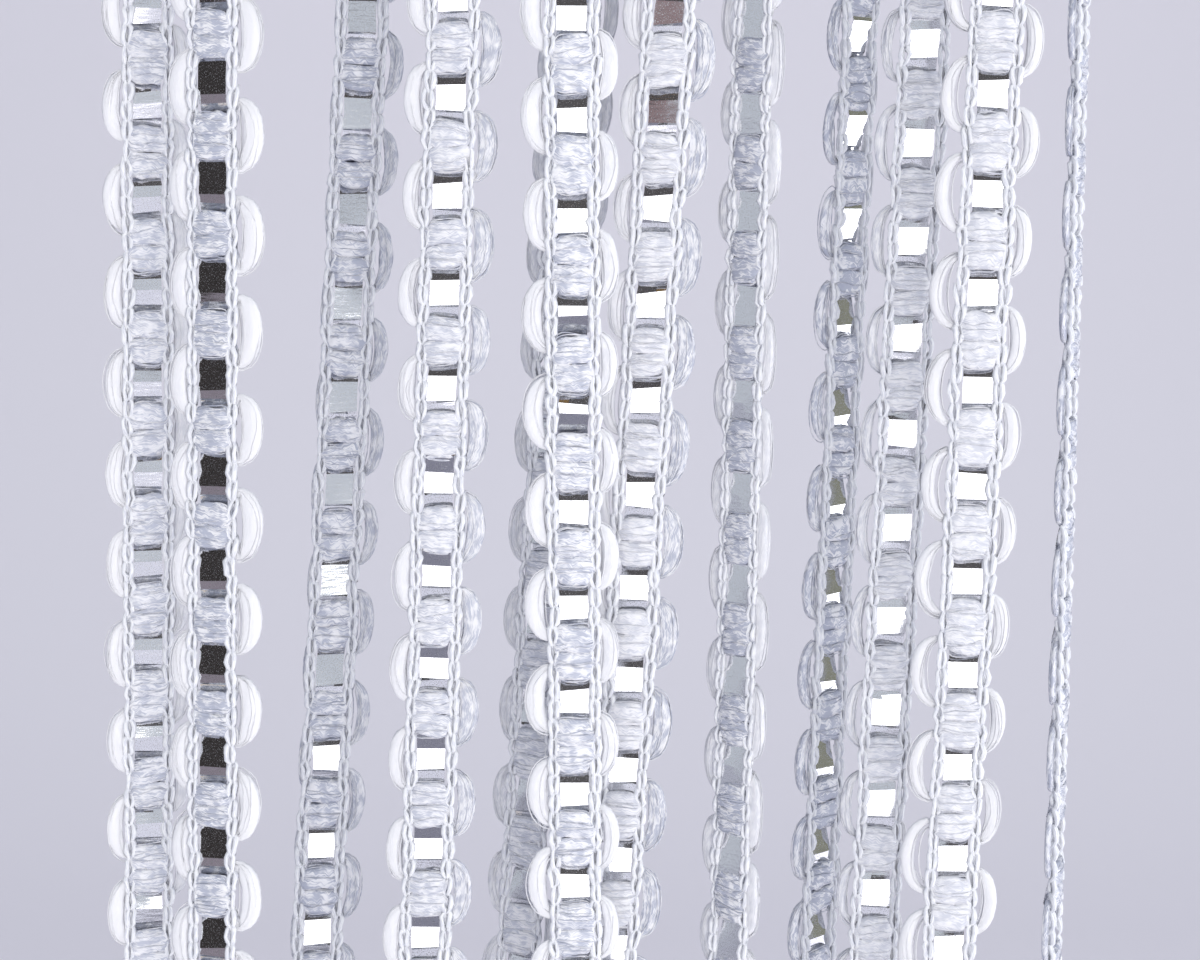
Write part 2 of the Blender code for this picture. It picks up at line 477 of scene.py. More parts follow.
def yarn_material(colour):
    """Texturised polyester filament yarn: fine lengthwise filaments with a silky shine, bright white.

    Between its filaments and where they are spread it is streaked with cool lavender grey: painted shade.
    """
    material, tree, shader = new_material("texturised_polyester_filament_yarn")
    shader.inputs["Roughness"].default_value = 0.33
    shader.inputs["IOR"].default_value = 1.57
    place = add_node(tree, "ShaderNodeUVMap", uv_map="thread")
    # The yarn is crimped: its filaments run to and fro by about 0.06 mm, in curls 0.4 mm long
    crimp = add_node(
        tree, "ShaderNodeTexNoise", {"Scale": 1 / 0.4, "Detail": 1.0}, {"Vector": place.outputs["UV"]}
    )
    crimped = add_node(
        tree,
        "ShaderNodeVectorMath",
        {1: (0.3, 0.3, 0.3)},
        {0: crimp.outputs["Color"], 2: place.outputs["UV"]},
        operation="MULTIPLY_ADD",
    )
    # One filament is 0.02 mm wide and too fine to show, so streaks of 0.04 mm are drawn instead
    spread = add_node(
        tree, "ShaderNodeMapping", {"Scale": (1 / 0.04, 1.3, 1.0)}, {"Vector": crimped.outputs["Vector"]}
    )
    streaks = add_node(
        tree,
        "ShaderNodeTexNoise",
        {"Scale": 1.0, "Detail": 2.0, "Distortion": 0.8},
        {"Vector": spread.outputs["Vector"]},
    )
    # Patches about 0.5 mm long where that painted shade is deeper or lighter
    clouded = add_node(
        tree, "ShaderNodeMapping", {"Scale": (2.8, 1.9, 1.0)}, {"Vector": place.outputs["UV"]}
    )
    clouds = add_node(
        tree, "ShaderNodeTexNoise", {"Scale": 1.0, "Detail": 2.0}, {"Vector": clouded.outputs["Vector"]}
    )
    # The streaks and the patches together paint cool shade on the yarn, by as much as it is clear
    both = add_node(
        tree,
        "ShaderNodeMath",
        {1: 1.1},
        {0: streaks.outputs["Fac"], 2: clouds.outputs["Fac"]},
        operation="MULTIPLY_ADD",
    )
    shade = add_node(
        tree,
        "ShaderNodeMapRange",
        {"From Min": 0.90, "From Max": 1.18, "To Min": -1.0, "To Max": 0.0},
        {"Value": both.outputs["Value"]},
    )
    clear = add_node(tree, "ShaderNodeAttribute", attribute_name="clear")
    shade_by_clear = add_node(
        tree,
        "ShaderNodeMath",
        {2: 1.0},
        {0: shade.outputs["Result"], 1: clear.outputs["Fac"]},
        operation="MULTIPLY_ADD",
    )
    # The ramp's darker end is the cool lavender grey of the painted shade
    tone = add_node(tree, "ShaderNodeValToRGB", links={"Fac": shade_by_clear.outputs["Value"]})
    ramp_colours(tone, shaded(colour, (0.54, 0.57, 0.66)), colour)
    tree.links.new(tone.outputs["Color"], shader.inputs["Base Color"])
    raised = add_node(
        tree,
        "ShaderNodeBump",
        {"Strength": 0.8, "Distance": 0.03 * MM},
        {"Height": streaks.outputs["Fac"]},
    )
    tree.links.new(raised.outputs["Normal"], shader.inputs["Normal"])
    return material


def chain_material(colour):
    """Flat polyester ground thread: a few fine filaments side by side, not twisted, so it is streaked with
    painted cool shade between them.
    """
    material, tree, shader = new_material("flat_polyester_ground_thread")
    shader.inputs["Roughness"].default_value = 0.42
    shader.inputs["IOR"].default_value = 1.57
    place = add_node(tree, "ShaderNodeUVMap", uv_map="thread")
    # One filament is under 0.02 mm wide and too fine to show, so streaks of 0.06 mm are drawn instead
    spread = add_node(
        tree, "ShaderNodeMapping", {"Scale": (1 / 0.06, 2.6, 1.0)}, {"Vector": place.outputs["UV"]}
    )
    filaments = add_node(
        tree, "ShaderNodeTexNoise", {"Scale": 1.0, "Detail": 2.0}, {"Vector": spread.outputs["Vector"]}
    )
    # Between the streaks the thread is painted in a cool grey: painted shade in the grooves between its
    # filaments
    tone = add_node(tree, "ShaderNodeValToRGB", links={"Fac": filaments.outputs["Fac"]})
    tone.color_ramp.elements[0].position = 0.40
    tone.color_ramp.elements[1].position = 0.54
    ramp_colours(tone, shaded(colour, (0.80, 0.81, 0.86)), colour)
    tree.links.new(tone.outputs["Color"], shader.inputs["Base Color"])
    raised = add_node(
        tree,
        "ShaderNodeBump",
        {"Strength": 0.6, "Distance": 0.02 * MM},
        {"Height": filaments.outputs["Fac"]},
    )
    tree.links.new(raised.outputs["Normal"], shader.inputs["Normal"])
    return material


def film_material(colour):
    """Slit metallised polyester film: a bright mirror with faint creases and tiny pits."""
    material, tree, shader = new_material("slit_metallised_polyester_film")
    shader.inputs["Metallic"].default_value = 1.0
    place = add_node(tree, "ShaderNodeUVMap", uv_map="thread")
    # Faint crinkles that run across the film, about 0.8 mm wide and 0.2 mm high
    stretched = add_node(
        tree, "ShaderNodeMapping", {"Scale": (1.2, 5.0, 1.0)}, {"Vector": place.outputs["UV"]}
    )
    crinkles = add_node(
        tree,
        "ShaderNodeTexNoise",
        {"Scale": 1.0, "Detail": 3.0, "Roughness": 0.55},
        {"Vector": stretched.outputs["Vector"]},
    )
    # Tiny pits in the metal, each about 0.06 mm wide
    pits = add_node(
        tree, "ShaderNodeTexNoise", {"Scale": 1 / 0.06, "Detail": 2.0}, {"Vector": place.outputs["UV"]}
    )
    tone = add_node(tree, "ShaderNodeValToRGB", links={"Fac": pits.outputs["Fac"]})
    tone.color_ramp.elements[0].position = 0.34
    tone.color_ramp.elements[1].position = 0.50
    ramp_colours(tone, shaded(colour, 0.62), colour)
    tree.links.new(tone.outputs["Color"], shader.inputs["Base Color"])
    # The deepest pits also scatter what the film mirrors
    scattered = add_node(
        tree,
        "ShaderNodeMapRange",
        {"From Min": 0.34, "From Max": 0.44, "To Min": 0.34, "To Max": 0.09},
        {"Value": pits.outputs["Fac"]},
    )
    tree.links.new(scattered.outputs["Result"], shader.inputs["Roughness"])
    raised = add_node(
        tree,
        "ShaderNodeBump",
        {"Strength": 0.22, "Distance": 0.02 * MM},
        {"Height": crinkles.outputs["Fac"]},
    )
    tree.links.new(raised.outputs["Normal"], shader.inputs["Normal"])
    return material


def cloth_material(colour, pitch):
    """Plain-woven polyester tape: matt white, every thread over one and under one."""
    material, tree, shader = new_material("plain_woven_polyester_tape")
    shader.inputs["Roughness"].default_value = 0.7
    shader.inputs["Sheen Weight"].default_value = 0.15
    place = add_node(tree, "ShaderNodeUVMap", uv_map="thread")
    # Half a wave for each thread, so that its neighbours go under where it goes over
    threads = add_node(
        tree,
        "ShaderNodeVectorMath",
        {"Scale": math.pi / pitch},
        {0: place.outputs["UV"]},
        operation="SCALE",
    )
    ways = add_node(tree, "ShaderNodeSeparateXYZ", links={"Vector": threads.outputs["Vector"]})
    warp = add_node(tree, "ShaderNodeMath", links={0: ways.outputs["X"]}, operation="SINE")
    weft = add_node(tree, "ShaderNodeMath", links={0: ways.outputs["Y"]}, operation="SINE")
    checks = add_node(
        tree,
        "ShaderNodeMath",
        links={0: warp.outputs["Value"], 1: weft.outputs["Value"]},
        operation="MULTIPLY",
    )
    over = add_node(
        tree, "ShaderNodeMath", {1: 0.0}, {0: checks.outputs["Value"]}, operation="GREATER_THAN"
    )
    warp_crown = add_node(tree, "ShaderNodeMath", links={0: warp.outputs["Value"]}, operation="ABSOLUTE")
    weft_crown = add_node(tree, "ShaderNodeMath", links={0: weft.outputs["Value"]}, operation="ABSOLUTE")
    crown = add_node(
        tree,
        "ShaderNodeMix",
        links={
            "Factor": over.outputs["Value"],
            "A": weft_crown.outputs["Value"],
            "B": warp_crown.outputs["Value"],
        },
    )
    # Where a thread dips under its neighbour it is painted darker: painted shade in the hollows of the weave
    tone = add_node(tree, "ShaderNodeValToRGB", links={"Fac": crown.outputs["Result"]})
    tone.color_ramp.elements[1].position = 0.6
    ramp_colours(tone, shaded(colour, 0.68), colour)
    tree.links.new(tone.outputs["Color"], shader.inputs["Base Color"])
    raised = add_node(
        tree,
        "ShaderNodeBump",
        {"Strength": 0.8, "Distance": 0.08 * MM},
        {"Height": crown.outputs["Result"]},
    )
    tree.links.new(raised.outputs["Normal"], shader.inputs["Normal"])
    return material


def sewing_material(colour):
    """Spun polyester sewing thread: white with a soft, slightly hairy twist."""
    material, tree, shader = new_material("spun_polyester_sewing_thread")
    shader.inputs["Roughness"].default_value = 0.6
    place = add_node(tree, "ShaderNodeUVMap", uv_map="thread")
    # The ridges of its twist slant across it, about 0.09 mm apart
    turned = add_node(
        tree,
        "ShaderNodeMapping",
        {"Rotation": (0.0, 0.0, math.radians(35)), "Scale": (3.0, 4.0, 1.0)},
        {"Vector": place.outputs["UV"]},
    )
    twist = add_node(
        tree, "ShaderNodeTexWave", {"Scale": 1.0, "Distortion": 1.0}, {"Vector": turned.outputs["Vector"]}
    )
    # Between the ridges of its twist the thread is painted darker: painted shade in its grooves
    tone = add_node(tree, "ShaderNodeValToRGB", links={"Fac": twist.outputs["Fac"]})
    ramp_colours(tone, shaded(colour, 0.75), colour)
    tree.links.new(tone.outputs["Color"], shader.inputs["Base Color"])
    return material


def plain_material(name, colour, glow=0.0):
    """A matt studio surface with a faint, broad mottle. glow is the light that it gives by itself."""
    material, tree, shader = new_material(name)
    shader.inputs["Roughness"].default_value = 0.9
    shader.inputs["Emission Color"].default_value = (*colour, 1.0)
    shader.inputs["Emission Strength"].default_value = glow
    mottle = add_node(tree, "ShaderNodeTexNoise", {"Scale": 3.0, "Detail": 2.0})
    tone = add_node(tree, "ShaderNodeValToRGB", links={"Fac": mottle.outputs["Fac"]})
    ramp_colours(tone, shaded(colour, 0.985), colour)
    tree.links.new(tone.outputs["Color"], shader.inputs["Base Color"])
    return material


# Meshes


def new_object(name, mesh, material):
    """An object in the scene from a mesh and its material."""
    mesh.materials.append(material)
    item = bpy.data.objects.new(name, mesh)
    bpy.context.scene.collection.objects.link(item)
    return item


def piece_name(number, kind):
    """The name of one kind of piece of a strand, the strands being counted from 1 at the left."""
    return f"strand_{number:02d}_{kind}"


def dress(item):
    """Makes a piece ride with the curtain and stand for its solid."""
    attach(item, BODY)
    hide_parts(NODE)


def map_patterns(mesh, places):
    """Lays the patterns' map on a mesh, from a place in millimetres for each of its vertices."""
    layer = mesh.uv_layers.new(name="thread")
    corner_vertices = np.empty(len(mesh.loops), dtype=np.int32)
    mesh.loops.foreach_get("vertex_index", corner_vertices)
    layer.uv.foreach_set("vector", places[corner_vertices].ravel())


def ring_mesh(name, rings, around):
    """Closed bodies in one mesh, from their rings of corners: stations by bodies by corners, in millimetres.

    around is how far round a body each corner lies, and one more for where the ring closes. The patterns'
    map holds that and the run along the body, both in millimetres.
    """
    stations, bodies, sides = rings.shape[:3]
    index = np.arange(stations * bodies * sides).reshape(stations, bodies, sides)
    onward = np.roll(index, -1, axis=2)
    quads = np.stack([index[:-1], onward[:-1], onward[1:], index[1:]], axis=-1).reshape(-1, 4)
    caps = [*index[0, :, ::-1].tolist(), *index[-1].tolist()]
    mesh = bpy.data.meshes.new(name)
    mesh.from_pydata(rings.reshape(-1, 3) * MM, [], [*quads.tolist(), *caps])
    lengths = np.linalg.norm(np.diff(rings.mean(axis=2), axis=0), axis=-1)
    run = np.concatenate([np.zeros((1, bodies)), np.cumsum(lengths, axis=0)])
    run = np.broadcast_to(run[:, :, None], index.shape)
    here = np.broadcast_to(around[:-1], index[:-1].shape)
    beyond = np.broadcast_to(around[1:], index[:-1].shape)
    places = np.stack(
        [
            np.stack([here, run[:-1]], axis=-1),
            np.stack([beyond, run[:-1]], axis=-1),
            np.stack([beyond, run[1:]], axis=-1),
            np.stack([here, run[1:]], axis=-1),
        ],
        axis=-2,
    )
    on_caps = np.zeros((2 * bodies * sides, 2))
    layer = mesh.uv_layers.new(name="thread")
    layer.uv.foreach_set("vector", np.concatenate([places.reshape(-1, 2), on_caps]).ravel())
    mesh.shade_smooth()
    return mesh


def thread_rings(paths, radius, sides):
    """Rings round the middle lines of threads. paths holds the lines, stations by threads."""
    along = unit(np.gradient(paths, axis=0))
    side = np.array([0.0, 1.0, 0.0]) + np.zeros_like(along[0])
    normals = np.empty_like(along)
    for station in range(len(paths)):
        side = unit(side - along[station] * np.sum(side * along[station], axis=-1, keepdims=True))
        normals[station] = side
    across = np.cross(along, normals)
    turns = 2 * math.pi * np.arange(sides)[:, None] / sides
    rings = normals[:, :, None] * np.cos(turns) + across[:, :, None] * np.sin(turns)
    return paths[:, :, None] + radius * rings


def ring_girth(radius, sides):
    """How far round a thread each corner of its rings lies."""
    return 2 * math.pi * radius * np.arange(sides + 1) / sides


def thread_mesh(name, paths, radius, sides):
    """Round threads with closed ends in one mesh."""
    return ring_mesh(name, thread_rings(paths, radius, sides), ring_girth(radius, sides))


# Slit film

# How unevenly the film lies: by how many degrees what a stretch mirrors sways, the slant of a crease, and
# how far a crease shifts across and a wrinkle stands up, in millimetres
MIRRORED_SWAY = 2.0
CREASE_SLANT = 0.045
CREASE_SHIFT = 0.02
WRINKLE = 0.003

# The bend from which a crease is sharp
SHARP_CREASE = math.radians(4)


def lean_to_mirror(strand, height, mirrored):
    """The film's lean back, in radians, at which it mirrors that elevation in the room to the camera."""
    camera = around_aim(0.0, CAMERA_PITCH, CAMERA_DISTANCE) / MM
    sight = math.atan2(height - camera.z, strand.depth - camera.y)
    lean = (math.radians(mirrored) - sight) / 2
    return min(max(lean, -STEEPEST_LEAN), STEEPEST_LEAN)


def film_line(strand, stretches, sizes, rng):
    """Heights, depths and twists of the film's creases: flat over a bare stretch and sunk behind a pad."""
    front = -in_mm(sizes.film_front)
    behind = in_mm(sizes.film_behind)
    line = []
    for window in window_heights(strand):
        bare = [stretch for stretch in stretches if window < stretch.below][-1]
        sway = rng.normal(0.0, MIRRORED_SWAY)
        leans = [lean_to_mirror(strand, window, mirrored + sway) for mirrored in bare.mirrored]
        strip_above, strip_below, upper, lower, under = (math.tan(lean) for lean in leans)
        top, fold, bottom = (phase * strand.repeat for phase in (bare.top, bare.fold, bare.bottom))
        top_depth = front + upper * (fold - top)
        bottom_depth = front - lower * (bottom - fold)
        above = CREASE_PAD_ABOVE * strand.repeat
        strip = top + STRIP_CREASE * (above - top)
        strip_depth = top_depth + strip_below * (top - strip)
        above_depth = strip_depth + strip_above * (strip - above)
        steep = bottom + STEEP_FOLD * strand.repeat
        steep_depth = bottom_depth - math.tan(STEEP_LEAN) * (steep - bottom)
        below = CREASE_PAD_BELOW * strand.repeat
        below_depth = steep_depth - under * (below - steep)
        creases = [
            (above, above_depth),
            (strip, strip_depth),
            (top, top_depth),
            (fold, front),
            (bottom, bottom_depth),
            (steep, steep_depth),
            (below, below_depth),
            (CREASE_PAD_MIDDLE * strand.repeat, behind),
        ]
        line += [(window - down, depth, bare.twist) for down, depth in creases]
    return [crease for crease in line if strand.end < crease[0] < STRAND_TOP]


def film_mesh(name, strand, stretches, sizes, rng):
    """The film of one strand: a thin closed band with a sharp crease at each row."""
    line = np.array(film_line(strand, stretches, sizes, rng))
    last = (strand.end, *line[-1, 1:])
    line = np.concatenate([line, [last]])
    twist = np.tan(np.radians(line[:, 2:]))
    line = line[:, :2]
    half = in_mm(sizes.film_width) / 2
    thickness = in_mm(sizes.film_thickness)
    columns = np.array([-half, -half / 3, half / 3, half])
    across = np.concatenate([columns, columns[::-1]])
    face = np.repeat([0.0, thickness], len(columns))
    slant = rng.normal(0.0, CREASE_SLANT, len(line))[:, None]
    shift = rng.normal(0.0, CREASE_SHIFT, len(line))[:, None]
    wrinkle = rng.normal(0.0, WRINKLE, (len(line), len(columns)))
    wrinkle = np.concatenate([wrinkle, wrinkle[:, ::-1]], axis=1)
    heights = line[:, :1] + slant * across
    depths = line[:, 1:] + face + wrinkle + twist * across
    points = placed(strand, across + shift, depths, heights, in_mm(sizes.chain_place))
    rows, ring = points.shape[:2]
    index = np.arange(rows * ring).reshape(rows, ring)
    onward = np.roll(index, -1, axis=1)
    quads = np.stack([index[:-1], index[1:], onward[1:], onward[:-1]], axis=-1).reshape(-1, 4)
    caps = [index[0].tolist(), index[-1, ::-1].tolist()]
    mesh = bpy.data.meshes.new(name)
    mesh.from_pydata(points.reshape(-1, 3) * MM, [], [*quads.tolist(), *caps])
    run = run_along(line)
    map_patterns(mesh, np.stack(np.broadcast_arrays(across, run[:, None]), axis=-1).reshape(-1, 2))
    mesh.shade_smooth()
    mesh.set_sharp_from_angle(angle=SHARP_CREASE)
    return mesh


class CURTAIN_OT_film(bpy.types.Operator):
    """Add the slit metallised film of every strand"""

    bl_idname = "string_curtain.film"
    bl_label = "Slit film"

    def execute(self, context):
        sizes = context.scene.strand_sizes
        material = film_material(context.scene.curtain_finishes.film)
        for number, (strand, stretches) in enumerate(zip(STRANDS, FILMS), start=1):
            name = piece_name(number, "film")
            rng = np.random.default_rng(FILM_SEED + number)
            item = new_object(name, film_mesh(name, strand, stretches, sizes, rng), material)
            dress(item)
        return {"FINISHED"}


# Chains of stitches

# Corners of the thread's rings, and stitches in one repeat of the knit
CHAIN_SIDES = 4
STITCHES_A_REPEAT = 5

# Room that is kept for the last stitch's head under the strand's top, in stitches
CHAIN_GAP = 0.3

# How unevenly the stitches lie: how far one leans and shifts across, how loosely its thread lies across
# and along, all in millimetres, the share of that in depth, and the least and most of the thread's thickness
# as shares
STITCH_LEAN = 0.05
STITCH_SHIFT = 0.02
STITCH_LOOSE = 0.024
LOOSE_IN_DEPTH = 0.7
THREAD_VARIES = (0.75, 1.2)

# One stitch of a chain, from its foot: millimetres across and behind, the rise as a share of a stitch and
# how thick the thread's filaments spread there. Its two legs stand in front as a V, its head lies behind
# the feet of the next stitch, and the last two points run up behind the yarn.
StitchPoint = namedtuple("StitchPoint", "across behind rise thick")
STITCH = [
    StitchPoint(-0.07, -0.14, 0.00, 0.9),
    StitchPoint(-0.12, -0.25, 0.24, 1.2),
    StitchPoint(-0.16, -0.27, 0.56, 1.2),
    StitchPoint(-0.15, -0.20, 0.88, 1.2),
    StitchPoint(-0.06, -0.08, 1.16, 1.0),
    StitchPoint(0.06, -0.08, 1.16, 1.0),
    StitchPoint(0.15, -0.20, 0.88, 1.2),
    StitchPoint(0.16, -0.27, 0.56, 1.2),
    StitchPoint(0.12, -0.25, 0.24, 1.2),
    StitchPoint(0.07, -0.14, 0.00, 0.9),
    StitchPoint(0.02, 0.00, 0.28, 1.1),
    StitchPoint(-0.02, 0.02, 0.76, 1.1),
]


def chain_path(strand, side, sizes, rng):
    """The thread of one chain: upright stitches, each drawn through the head of the one under it."""
    pitch = strand.repeat / STITCHES_A_REPEAT
    count = int((STRAND_TOP - strand.end) / pitch - CHAIN_GAP)
    stitch = np.array(STITCH)
    foot = strand.end + pitch * np.arange(count)[:, None]
    lean = rng.normal(0.0, STITCH_LEAN, (count, 1))
    shift = rng.normal(0.0, STITCH_SHIFT, (count, 1))
    loose = rng.normal(0.0, STITCH_LOOSE, (count, len(STITCH)))
    across = side * in_mm(sizes.chain_place) + stitch[:, 0] + shift + lean * stitch[:, 2] + loose
    behind = stitch[:, 1] + LOOSE_IN_DEPTH * loose[:, ::-1]
    height = foot + pitch * stitch[:, 2] + loose
    height = np.maximum(height, strand.end)
    return placed(strand, across.ravel(), behind.ravel(), height.ravel(), in_mm(sizes.chain_place))


def chains_mesh(name, strand, sizes, rng):
    """The two chains of one strand, their thread thicker where its filaments spread."""
    paths = np.stack([chain_path(strand, side, sizes, rng) for side in (-1, 1)], axis=1)
    radius = in_mm(sizes.chain_thread) / 2
    thick = np.resize([point.thick for point in STITCH], len(paths))
    thick = thick * rng.uniform(*THREAD_VARIES, len(paths))
    rings = thread_rings(paths, radius * thick[:, None, None, None], CHAIN_SIDES)
    return ring_mesh(name, rings, ring_girth(radius, CHAIN_SIDES))


class CURTAIN_OT_chains(bpy.types.Operator):
    """Add the two chains of stitches of every strand"""

    bl_idname = "string_curtain.chains"
    bl_label = "Chains of stitches"

    def execute(self, context):
        sizes = context.scene.strand_sizes
        material = chain_material(context.scene.curtain_finishes.chain)
        for number, strand in enumerate(STRANDS, start=1):
            name = piece_name(number, "chains")
            rng = np.random.default_rng(CHAIN_SEED + number)
            mesh = chains_mesh(name, strand, sizes, rng)
            dress(new_object(name, mesh, material))
        return {"FINISHED"}


# Looped yarn

# Width of one lock of filaments, from ridge to ridge, in millimetres
LOCK_WIDTH = 0.13

# How far a loop's yarn goes past the ends of its middle line, up and down, in millimetres
LOOP_TIP = 0.10

# A side loop: the places along it, in degrees from its outside, how full its curve is, how far it lies
# behind the strand's middle, the share of its width that it has at its ends, half its thickness there,
# what its outside adds to that and what clear takes off again, in millimetres
LOOP_TURNS = range(-78, 79, 26)
LOOP_FULLNESS = 0.85
LOOP_BEHIND = 0.02
LOOP_END_WIDTH = 0.32
LOOP_END_THICKNESS = 0.09
LOOP_BULGE = 0.20
CLEAR_THINNING = 0.14

# How unevenly the loops lie: shares of their reach and height, then their place and droop in millimetres
REACH_VARIES = 0.05
HEIGHT_VARIES = 0.03
LOOP_PLACE_VARIES = 0.04
DROOP_VARIES = 0.06

# The yarn's points in a lobe of a pad that starts at the left: millimetres across and behind, the share of
# the lobe's height there and half its thickness
LobePoint = namedtuple("LobePoint", "across behind share thickness")
LOBE = [
    LobePoint(-0.72, -0.20, 0.92, 0.16),
    LobePoint(-0.28, -0.24, 1.00, 0.19),
    LobePoint(0.28, -0.24, 1.00, 0.19),
    LobePoint(0.72, -0.20, 0.92, 0.16),
]

# How far each lobe reaches past the middle of its pad, how far past a lobe's middle the yarn crosses the left
# and the right chain, and how much of the strand is left under the yarn's last repeat, in millimetres
LOBE_OVERLAP = 0.05
LEFT_CROSSING = 0.10
RIGHT_CROSSING = 0.12
TAIL_ROOM = 0.3

# How unevenly the lobes and crossings lie: the lobes' slant, the least and most of their height as shares,
# and their places in millimetres
LOBE_SLANT = 0.05
LOBE_HEIGHT_VARIES = (0.94, 1.06)
PLACE_VARIES = 0.02

# Points that smooth lines have for each point of the yarn's route
ROUTE_STEPS = 2

# One point of the yarn's route on the flat ribbon: millimetres across, behind and high, and half the
# bundle's spread in the ribbon's plane and in depth. pad is 1 in front of the film, 0 in the loops and
# between where the yarn crosses a chain, and clear is as in YARNS.
RoutePoint = namedtuple("RoutePoint", "across behind height spread thickness pad clear")


def side_loop(side, middle, repeat, loop, half_width, sizes, rng):
    """The yarn round a side loop, from its upper end to its lower end. side is -1 at the left."""
    chain = in_mm(sizes.chain_place)
    out = in_mm(sizes.loop_reach) * loop.reach - half_width - chain
    out = out * rng.normal(1.0, REACH_VARIES)
    tall = (loop.rise * repeat - LOOP_TIP) * rng.normal(1.0, HEIGHT_VARIES)
    middle = middle + rng.normal(0.0, LOOP_PLACE_VARIES)
    droop = rng.normal(0.0, DROOP_VARIES)
    points = []
    for turn in LOOP_TURNS:
        bulge = math.cos(math.radians(turn))
        down = math.sin(math.radians(turn))
        across = side * (chain + out * bulge**LOOP_FULLNESS)
        height = middle - tall * down - droop * bulge
        spread = half_width * (LOOP_END_WIDTH + (1 - LOOP_END_WIDTH) * bulge)
        thickness = LOOP_END_THICKNESS + bulge * (LOOP_BULGE - CLEAR_THINNING * loop.clear)
        points.append(RoutePoint(across, LOOP_BEHIND, height, spread, thickness, 0, loop.clear))
    return points


def pad_lobe(side, middle, half_height, clear, rng):
    """The yarn across the film from one chain to the other. side is where it starts, -1 at the left."""
    slant = rng.normal(0.0, LOBE_SLANT)
    points = []
    for point in LOBE:
        across = -side * point.across
        spread = half_height * point.share * rng.uniform(*LOBE_HEIGHT_VARIES)
        height = middle + slant * point.across + rng.normal(0.0, PLACE_VARIES)
        points.append(RoutePoint(across, point.behind, height, spread, point.thickness, 1, clear))
    return points


def chain_crossing(side, height, clear, sizes, rng):
    """The yarn where it passes between the legs and the back of a chain."""
    place = in_mm(sizes.chain_place) + rng.normal(0.0, PLACE_VARIES)
    return RoutePoint(
        across=side * place, behind=-0.03, height=height, spread=0.15, thickness=0.11, pad=0.3, clear=clear
    )


def yarn_route(strand, yarn, left_half, right_half, sizes, rng):
    """The yarn's route down a whole strand: left loop, pad's upper lobe, right loop, lower lobe.

    left_half and right_half are half the bundle's width at the outside of its loops.
    """
    repeat = strand.repeat
    lobe = yarn.pad / 2 * repeat
    lobe_spread = lobe + LOBE_OVERLAP
    clear = yarn.pad_clear
    points = []
    for window in window_heights(strand):
        pad = window - 0.5 * repeat
        if pad - 0.5 * repeat < strand.end + TAIL_ROOM:
            break
        points += side_loop(-1, window, repeat, yarn.left, left_half, sizes, rng)
        points.append(chain_crossing(-1, pad + lobe + LEFT_CROSSING, clear, sizes, rng))
        points += pad_lobe(-1, pad + lobe, lobe_spread, clear, rng)
        points.append(chain_crossing(1, pad + lobe + RIGHT_CROSSING, clear, sizes, rng))
        points += side_loop(1, pad, repeat, yarn.right, right_half, sizes, rng)
        points.append(chain_crossing(1, pad - lobe - RIGHT_CROSSING, clear, sizes, rng))
        points += pad_lobe(1, pad - lobe, lobe_spread, clear, rng)
        points.append(chain_crossing(-1, pad - lobe - LEFT_CROSSING, clear, sizes, rng))
    below = (points[-1].height + strand.end) / 2
    tail = RoutePoint(
        across=-0.9, behind=-0.05, height=below, spread=0.2, thickness=0.12, pad=0, clear=clear
    )
    points += [tail, tail._replace(across=-0.7, height=strand.end, spread=0.3, thickness=0.15)]
    return points


YarnKeys = namedtuple("YarnKeys", "across behind height spread thickness pad clear way_across way_up")


def yarn_keys(strand, route):
    """The route's points as arrays, kept above the strand's end, with the yarn's direction at each."""
    across, behind, height, spread, thickness, pad, clear = np.array(route).T
    height = np.maximum(height, strand.end)
    way = unit(np.stack([np.gradient(across), np.gradient(height)], axis=1))
    return YarnKeys(across, behind, height, spread, thickness, pad, clear, way[:, 0], way[:, 1])


def add_yarn_piece(name, mesh, clear, material):
    """Adds a piece of yarn whose mesh holds how clear it is, which sets its painted shade, from a value for
    each station.
    """
    layer = mesh.attributes.new("clear", "FLOAT", "POINT")
    values = np.repeat(clear, len(mesh.vertices) // len(clear))
    layer.data.foreach_set("value", values.astype(np.float32))
    dress(new_object(name, mesh, material))


def beside_route(strand, keys, aside, forward, chain_place):
    """Smooth lines down a strand, aside of the yarn's route in the ribbon's plane and behind it."""
    places = np.stack(
        [
            keys.across[:, None] + aside * keys.way_up[:, None],
            keys.behind[:, None] + forward,
            keys.height[:, None] - aside * keys.way_across[:, None],
        ],
        axis=-1,
    )
    flat = smooth_path(places, ROUTE_STEPS)
    return placed(strand, flat[..., 0], flat[..., 1], flat[..., 2], chain_place)


# The dense bundle: how far it twists from point to point, as a share of a turn, how square it is in the
# loops and what the pads add to that, how high its ridges stand, between which shares of that they vary,
# how soon they fade towards its edges, the share that they keep where it isn't clear, and how unevenly
# they are spaced
BUNDLE_TWIST = 0.05
LOOP_SQUARENESS = 2
PAD_SQUARENESS = 1.5
RIDGE_HEIGHT = 0.022
RIDGE_VARIES = (0.2, 1.7)
RIDGE_FADE = 4
DENSE_RIDGES = 0.4
RIDGE_UNEVEN = 0.03


